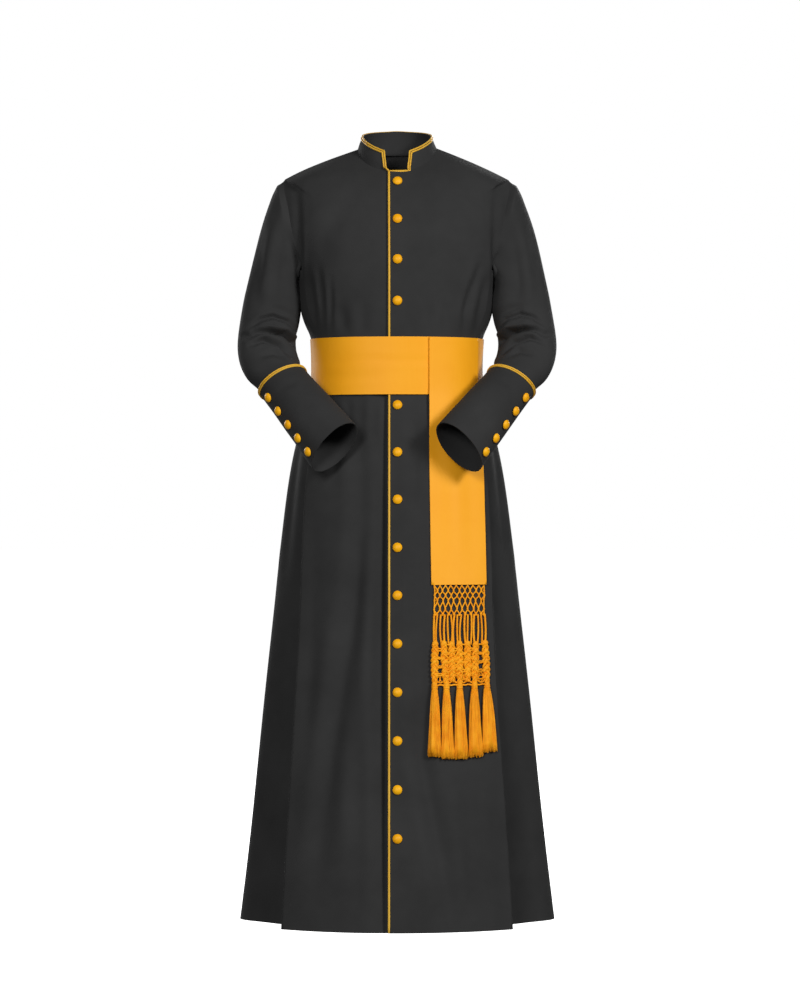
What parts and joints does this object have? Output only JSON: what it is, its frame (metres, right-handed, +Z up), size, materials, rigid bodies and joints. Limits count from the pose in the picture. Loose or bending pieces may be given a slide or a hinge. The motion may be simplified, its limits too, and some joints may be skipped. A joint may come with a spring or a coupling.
{
  "type": "cassock",
  "caption": "Full-length worn cassock with a standing collar, piped button front, deep cuffs and a waist cincture with a fringed fall.",
  "frame": {"origin": "on the neck's axis, level with the foot of the collar at the back and sides, where the wearer's neck and shoulders hold the garment", "axes": "+Z up; the front faces -Y; +X is the wearer's left"},
  "size_m": [0.606, 0.5254, 1.5004],
  "materials": {
    "suiting": "matte charcoal worsted twill",
    "satin": "ribbed golden satin",
    "piping": "corded golden satin bias",
    "button": "cloth-covered golden satin",
    "thread": "twisted golden rayon thread"
  },
  "bodies": {
    "root": {"front_left": "suiting", "front_right": "suiting", "back": "suiting", "side_left": "suiting", "side_right": "suiting", "sleeve_left": "suiting", "sleeve_right": "suiting", "cuff_left": "suiting", "cuff_right": "suiting", "collar": "suiting", "piping_collar": "piping", "piping_front": "piping", "piping_cuff_left": "piping", "piping_cuff_right": "piping", "button_01": "button", "button_02": "button", "button_03": "button", "button_04": "button", "button_05": "button", "button_06": "button", "button_07": "button", "button_08": "button", "button_09": "button", "button_10": "button", "button_11": "button", "button_12": "button", "button_13": "button", "button_14": "button", "cuff_button_left_1": "button", "cuff_button_left_2": "button", "cuff_button_left_3": "button", "cuff_button_left_4": "button", "cuff_button_left_5": "button", "cuff_button_right_1": "button", "cuff_button_right_2": "button", "cuff_button_right_3": "button", "cuff_button_right_4": "button", "cuff_button_right_5": "button", "cincture_band": "satin", "cincture_fall": "satin", "fringe_net": "thread", "fringe_cords": "thread", "fringe_knots": "thread", "tassel_1": "thread", "tassel_2": "thread", "tassel_3": "thread", "tassel_4": "thread", "tassel_5": "thread"}
  },
  "joints": []
}
